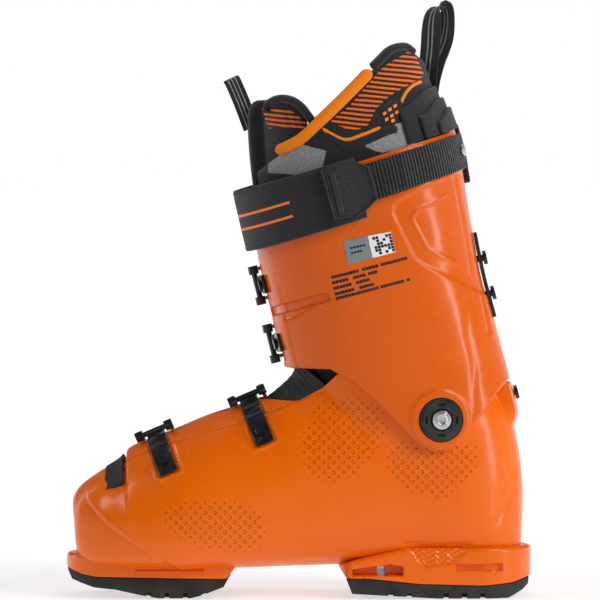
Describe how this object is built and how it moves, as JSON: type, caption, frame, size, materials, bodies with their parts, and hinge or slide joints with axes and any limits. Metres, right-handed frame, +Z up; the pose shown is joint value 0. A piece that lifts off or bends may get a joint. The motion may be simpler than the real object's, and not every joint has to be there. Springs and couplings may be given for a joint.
{
  "type": "alpine ski boot",
  "caption": "Hard-shell alpine ski boot with overlap lower shell, hinged cuff, over-centre buckles, power strap, removable liner and bolted toe and heel soles.",
  "frame": {"origin": "centre of the bounding box at the ground, z = 0 under the soles", "axes": "-X towards the toe, -Y the medial side, +Y the lateral side with the buckle levers, +Z up; a boot for the right foot"},
  "size_m": [0.305, 0.1365, 0.3883],
  "materials": {
    "shell": "glossy moulded polyurethane",
    "rubber": "matte",
    "black_plastic": "satin",
    "liner": "knit and felt",
    "webbing": "woven webbing",
    "steel": "brushed",
    "black_metal": "black anodised"
  },
  "bodies": {
    "lower_boot": {"toe_ladder": "black_metal", "toe_ladder_rivet": "steel", "toe_buckle_base": "black_metal", "toe_lever_pin": "steel", "instep_ladder": "black_metal", "instep_ladder_rivet": "steel", "instep_buckle_base": "black_metal", "instep_lever_pin": "steel", "lower_shell": "shell", "toe_sole": "rubber", "heel_sole": "rubber", "toe_sole_screw_medial": "steel", "toe_sole_screw_lateral": "steel", "heel_sole_screw_medial": "steel", "heel_sole_screw_lateral": "steel", "boot_board": "black_plastic", "liner_foot": "liner", "liner_ankle": "liner", "instep_gasket": "rubber", "toe_insert": "black_plastic", "pivot_bolt_medial": "steel", "pivot_bolt_lateral": "steel", "spine_bolt_heel": "steel"},
    "cuff": {"liner_shaft": "liner", "liner_tongue": "liner", "lower_cuff_ladder": "black_metal", "lower_cuff_ladder_rivet": "steel", "lower_cuff_buckle_base": "black_metal", "lower_cuff_lever_pin": "steel", "upper_cuff_ladder": "black_metal", "upper_cuff_ladder_rivet": "steel", "upper_cuff_buckle_base": "black_metal", "upper_cuff_lever_pin": "steel", "spine_plate": "black_metal", "spine_bolt_lower": "steel", "spine_bolt_upper": "steel", "cuff": "shell", "power_strap": "webbing", "strap_webbing": "webbing", "strap_slider": "black_plastic", "strap_rivet_medial": "steel", "strap_rivet_lateral": "steel", "spoiler": "webbing", "heel_pull_loop": "webbing", "tongue_pull_loop": "webbing"},
    "toe_lever": {"toe_lever": "black_metal", "toe_bail_pin": "steel"},
    "toe_bail": {"toe_bail": "black_metal"},
    "instep_lever": {"instep_lever": "black_metal", "instep_bail_pin": "steel"},
    "instep_bail": {"instep_bail": "black_metal"},
    "lower_cuff_lever": {"lower_cuff_lever": "black_metal", "lower_cuff_bail_pin": "steel"},
    "lower_cuff_bail": {"lower_cuff_bail": "black_metal"},
    "upper_cuff_lever": {"upper_cuff_lever": "black_metal", "upper_cuff_bail_pin": "steel"},
    "upper_cuff_bail": {"upper_cuff_bail": "black_metal"},
    "cam_medial": {"pivot_cam_medial": "black_plastic"},
    "cam_lateral": {"pivot_cam_lateral": "black_plastic"}
  },
  "joints": [
    {"name": "cuff_flex", "type": "hinge", "parent": "lower_boot", "child": "cuff", "pos_m": [0.0916, 0, 0.1176], "axis": [0, -1, 0], "range_deg": [0, 8], "stiffness_Nm_per_rad": 60, "deforming": ["liner_ankle", "instep_gasket"]},
    {"name": "toe_lever_hinge", "type": "hinge", "parent": "lower_boot", "child": "toe_lever", "pos_m": [-0.08782, 0.04512, 0.09164], "axis": [0.9205, 0, 0.3907], "range_deg": [0, 95]},
    {"name": "toe_bail_hinge", "type": "hinge", "parent": "toe_lever", "child": "toe_bail", "pos_m": [-0.08398, 0.0541, 0.08258], "axis": [0.9205, 0, 0.3907], "range_deg": [-133, 0]},
    {"name": "instep_lever_hinge", "type": "hinge", "parent": "lower_boot", "child": "instep_lever", "pos_m": [-0.02413, 0.04524, 0.10779], "axis": [0.9205, 0, 0.3907], "range_deg": [0, 95]},
    {"name": "instep_bail_hinge", "type": "hinge", "parent": "instep_lever", "child": "instep_bail", "pos_m": [-0.0196, 0.05192, 0.09712], "axis": [0.9205, 0, 0.3907], "range_deg": [-133, 0]},
    {"name": "lower_cuff_lever_hinge", "type": "hinge", "parent": "cuff", "child": "lower_cuff_lever", "pos_m": [0.01792, 0.054, 0.17353], "axis": [-0.2419, 0, 0.9703], "range_deg": [0, 95]},
    {"name": "lower_cuff_bail_hinge", "type": "hinge", "parent": "lower_cuff_lever", "child": "lower_cuff_bail", "pos_m": [0.02977, 0.05853, 0.17648], "axis": [-0.2419, 0, 0.9703], "range_deg": [-133, 0]},
    {"name": "upper_cuff_lever_hinge", "type": "hinge", "parent": "cuff", "child": "upper_cuff_lever", "pos_m": [0.00269, 0.05391, 0.21032], "axis": [-0.2419, 0, 0.9703], "range_deg": [0, 95]},
    {"name": "upper_cuff_bail_hinge", "type": "hinge", "parent": "upper_cuff_lever", "child": "upper_cuff_bail", "pos_m": [0.01433, 0.0596, 0.21322], "axis": [-0.2419, 0, 0.9703], "range_deg": [-133, 0]},
    {"name": "cant_medial", "type": "hinge", "parent": "cuff", "child": "cam_medial", "pos_m": [0.09167, -0.04251, 0.11757], "axis": [0.1348, -0.9908, -0.0113], "range_deg": [-90, 90]},
    {"name": "cant_lateral", "type": "hinge", "parent": "cuff", "child": "cam_lateral", "pos_m": [0.09187, 0.04573, 0.11748], "axis": [0.1413, 0.9899, -0.0103], "range_deg": [-90, 90]}
  ],
  "couplings": [
    {"joint": "toe_bail_hinge", "follows": "toe_lever_hinge", "ratio": -1.4},
    {"joint": "instep_bail_hinge", "follows": "instep_lever_hinge", "ratio": -1.4},
    {"joint": "lower_cuff_bail_hinge", "follows": "lower_cuff_lever_hinge", "ratio": -1.4},
    {"joint": "upper_cuff_bail_hinge", "follows": "upper_cuff_lever_hinge", "ratio": -1.4}
  ]
}
